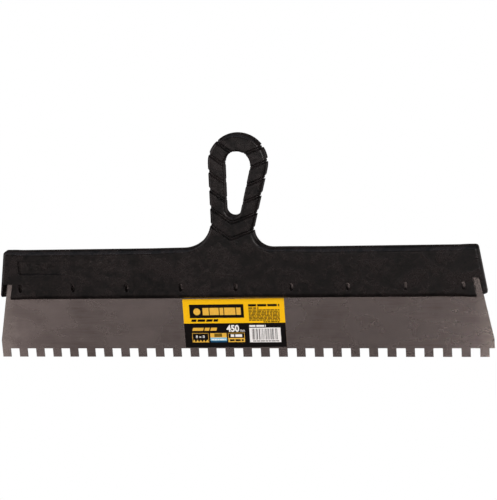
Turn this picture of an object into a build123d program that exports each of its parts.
from build123d import *
import math
import os

# Notched trowel: a toothed steel blade moulded into a one-piece plastic handle, with a label on the blade.
# Heights in this file are measured from the tooth tips, widths from the middle of the blade.
# X runs along the blade, Y through its thickness (the labelled face looks towards -Y), Z up the handle.

# Blade
BLADE_WIDTH = 450.0
BLADE_THICKNESS = 0.7
BLADE_TOP = 92.0                # upper edge, hidden in the handle
CORNER_HEIGHT = 16.0            # the sides are upright below this height
SIDE_SLOPE = 0.206              # and lean inwards above it, in mm per mm
TOOTH_COUNT = 28
TOOTH_WIDTH = 8.0
TOOTH_PITCH = 16.2
NOTCH_DEPTH = 8.0
ANCHOR_HOLE_RADIUS = 4.0        # holes that the plastic bridges through
ANCHOR_HOLE_HEIGHT = 81.0
ANCHOR_HOLE_X = [-175.0, -125.0, -75.0, -25.0, 25.0, 75.0, 125.0, 175.0]

# Handle bar
HANDLE_THICKNESS = 13.0
HANDLE_EDGE_RADIUS = 3.5
BAR_BOTTOM = 55.5
BAR_TOP = 101.0
BAR_HALF_BOTTOM = 220.9         # half length along the bottom edge
BAR_HALF_TOP = 213.3
BAR_CORNER_RADIUS = 3.0
SLOT_X = [50.0 * i for i in range(-4, 5)]
SLOT_HEIGHT = 66.4
SLOT_WIDTH = 2.4
SLOT_LENGTH = 6.6
WINDOW_TOP = 72.2               # end windows that show the blade's margin
WINDOW_IN_TOP = 207.5
WINDOW_IN_BOTTOM = 211.4
TONGUE_BOTTOM = 58.5            # the bar's end tongues stop above its bottom edge
TONGUE_BEVEL = 1.2              # rise of a tongue's end towards the outside
PANEL_CENTRE = (-177.5, 86.1)   # sunk panel on the front of the bar
PANEL_SIZE = (45.0, 12.8)
PANEL_DEPTH = 1.0

# Loop grip, drawn on its own axis, which leans from the upright
LOOP_LEAN = 8.4                 # degrees towards +X
LOOP_FOOT = 123.0               # height at which the grip's axis crosses the blade's middle
LOOP_RADIUS = 26.2
LOOP_RADIUS_CENTRE = 55.0
ROOT_HALF_WIDTH = 16.1
ROOT_DEPTH = -25.0
HOLE_TOP_RADIUS = 11.6
HOLE_TOP_CENTRE = 54.0
HOLE_BOTTOM_RADIUS = 6.8
HOLE_BOTTOM_CENTRE = 14.0
NECK_RADIUS_LEFT = 27.3
NECK_RADIUS_RIGHT = 15.8

# Chevron grooves across the grip
GROOVE_COUNT = 6
GROOVE_FIRST = -14.5            # height of the lowest groove's lower edge on the axis
GROOVE_PITCH = 14.8
GROOVE_WIDTH = 3.6
GROOVE_SLOPE = 0.56
GROOVE_DEPTH = 0.9              # on the faces and the outer sides
GROOVE_DEPTH_INSIDE = 0.3       # on the hole's wall
GROOVE_REACH = 40.0             # sideways reach of a chevron, past the grip's sides

# Label
LABEL_SIZE = (92.5, 45.3)
LABEL_CENTRE = (-4.5, 31.7)
LABEL_THICKNESS = 0.15
LABEL_TURN = 0.4
LABEL_CORNER_RADIUS = 1.0

# Cutting shapes reach past what they cut, and points closer than the tolerance are the same
CUT_MARGIN = 1.0
CUT_THICKNESS = 2 * HANDLE_THICKNESS
TOLERANCE = 0.01

# The origin: the top of the grip's hole, on the mid-plane, where the tool hangs on a hook
HANG_ALONG = HOLE_TOP_CENTRE + HOLE_TOP_RADIUS
LEAN = math.radians(LOOP_LEAN)
HANG_X = HANG_ALONG * math.sin(LEAN)
HANG_Z = LOOP_FOOT + HANG_ALONG * math.cos(LEAN)


def plate(face, thickness):
    """A face drawn in the blade's plane, made solid by the same amount on both sides of it."""
    return extrude(Plane.XZ * face, amount=thickness / 2, both=True)


def polygon(*points):
    """A closed face through the given points."""
    return make_face(Polyline(*points, close=True))


def on_grip(shape):
    """Moves a shape drawn on the grip's own axis to its leaning place."""
    return Pos(0, LOOP_FOOT) * Rot(0, 0, -LOOP_LEAN) * shape


def blade_half_width(height):
    return BLADE_WIDTH / 2 - SIDE_SLOPE * (height - CORNER_HEIGHT)


def blade():
    half = BLADE_WIDTH / 2
    top_half = blade_half_width(BLADE_TOP)
    outline = polygon(
        (-half, 0),
        (half, 0),
        (half, CORNER_HEIGHT),
        (top_half, BLADE_TOP),
        (-top_half, BLADE_TOP),
        (-half, CORNER_HEIGHT),
    )
    notch_width = TOOTH_PITCH - TOOTH_WIDTH
    for i in range(TOOTH_COUNT):
        middle = -half + i * TOOTH_PITCH + TOOTH_WIDTH + notch_width / 2
        outline -= Pos(middle, 0) * Rectangle(notch_width, 2 * NOTCH_DEPTH)
    for x in ANCHOR_HOLE_X:
        outline -= Pos(x, ANCHOR_HOLE_HEIGHT) * Circle(ANCHOR_HOLE_RADIUS)
    return plate(outline, BLADE_THICKNESS)


def grip_outline():
    rim = Circle(LOOP_RADIUS).edge().moved(Location((0, LOOP_RADIUS_CENTRE)))
    root = Line((-ROOT_HALF_WIDTH, ROOT_DEPTH), (ROOT_HALF_WIDTH, ROOT_DEPTH))
    return on_grip(make_hull([rim, root.edge()]))


def grip_hole():
    top = Circle(HOLE_TOP_RADIUS).edge().moved(Location((0, HOLE_TOP_CENTRE)))
    bottom = Circle(HOLE_BOTTOM_RADIUS).edge().moved(Location((0, HOLE_BOTTOM_CENTRE)))
    return on_grip(make_hull([top, bottom]))


def bar_outline():
    bar = polygon(
        (-BAR_HALF_BOTTOM, BAR_BOTTOM),
        (BAR_HALF_BOTTOM, BAR_BOTTOM),
        (BAR_HALF_TOP, BAR_TOP),
        (-BAR_HALF_TOP, BAR_TOP),
    )
    return fillet(bar.vertices(), BAR_CORNER_RADIUS)


def handle_outline():
    """The bar and grip as one face, with the neck's two hollow curves."""
    outline = bar_outline() + grip_outline()
    on_bar_top = [v for v in outline.vertices() if abs(v.Y - BAR_TOP) < TOLERANCE]
    left, right = sorted([v for v in on_bar_top if abs(v.X) < LOOP_RADIUS], key=lambda v: v.X)
    outline = fillet([left], NECK_RADIUS_LEFT)
    right = min(outline.vertices(), key=lambda v: abs(v.X - right.X) + abs(v.Y - right.Y))
    outline = fillet([right], NECK_RADIUS_RIGHT)
    return outline


def rounded_plate(outline, thickness, radius):
    solid = plate(outline, thickness)
    faces = [f for f in solid.faces() if abs(abs(f.center().Y) - thickness / 2) < TOLERANCE]
    edges = [e for f in faces for e in f.edges()]
    return fillet(edges, radius)


def groove_bands():
    """Chevron-shaped plates, pointing down the grip's axis."""
    bands = []
    rise = GROOVE_SLOPE * GROOVE_REACH
    for i in range(GROOVE_COUNT):
        low = GROOVE_FIRST + i * GROOVE_PITCH
        band = polygon(
            (0, low),
            (GROOVE_REACH, low + rise),
            (GROOVE_REACH, low + rise + GROOVE_WIDTH),
            (0, low + GROOVE_WIDTH),
            (-GROOVE_REACH, low + rise + GROOVE_WIDTH),
            (-GROOVE_REACH, low + rise),
        )
        bands.append(plate(on_grip(band), CUT_THICKNESS))
    return bands


def handle(blade_solid):
    outline = handle_outline()
    hole = grip_hole()
    body = rounded_plate(outline - hole, HANDLE_THICKNESS, HANDLE_EDGE_RADIUS)
    core_outline = offset(outline, -GROOVE_DEPTH) - offset(hole, GROOVE_DEPTH_INSIDE)
    core_thickness = HANDLE_THICKNESS - 2 * GROOVE_DEPTH
    core = rounded_plate(core_outline, core_thickness, HANDLE_EDGE_RADIUS - GROOVE_DEPTH)
    for band in groove_bands():
        body -= band - core
    for x in SLOT_X:
        slot = Pos(x, SLOT_HEIGHT) * Rot(0, 0, 90) * SlotOverall(SLOT_LENGTH, SLOT_WIDTH)
        body -= plate(slot, CUT_THICKNESS)
    below = BAR_BOTTOM - CUT_MARGIN
    outside = BAR_HALF_BOTTOM + CUT_MARGIN
    for side in (-1, 1):
        window = polygon(
            (side * WINDOW_IN_BOTTOM, below),
            (side * WINDOW_IN_TOP, WINDOW_TOP),
            (side * blade_half_width(WINDOW_TOP), WINDOW_TOP),
            (side * blade_half_width(below), below),
        )
        under_tongue = polygon(
            (side * (blade_half_width(below) - CUT_MARGIN), below),
            (side * (blade_half_width(TONGUE_BOTTOM) - CUT_MARGIN), TONGUE_BOTTOM),
            (side * outside, TONGUE_BOTTOM + TONGUE_BEVEL),
            (side * outside, below),
        )
        body -= plate(window + under_tongue, CUT_THICKNESS)
    panel = Pos(PANEL_CENTRE[0], PANEL_CENTRE[1]) * Rectangle(*PANEL_SIZE)
    body -= Pos(0, -HANDLE_THICKNESS / 2, 0) * plate(panel, 2 * PANEL_DEPTH)
    return body - blade_solid


def label():
    sheet = RectangleRounded(LABEL_SIZE[0], LABEL_SIZE[1], LABEL_CORNER_RADIUS)
    sheet = Pos(LABEL_CENTRE[0], LABEL_CENTRE[1]) * Rot(0, 0, LABEL_TURN) * sheet
    front = -(BLADE_THICKNESS + LABEL_THICKNESS) / 2
    return Pos(0, front, 0) * plate(sheet, LABEL_THICKNESS)


def write(name, shape):
    """Moves a finished piece so that the hanging point is the origin, and writes it."""
    placed = Pos(-HANG_X, 0, -HANG_Z) * shape
    solids = placed.solids()
    print(name, "solids", len(solids), "volume", round(sum(s.volume for s in solids)))
    export_step(solids[0] if len(solids) == 1 else Compound(children=solids), f"parts/{name}.step")


os.makedirs("parts", exist_ok=True)
steel = blade()
write("blade", steel)
write("handle", handle(steel))
write("label", label())
print("hanging point", round(HANG_X, 3), round(HANG_Z, 3))
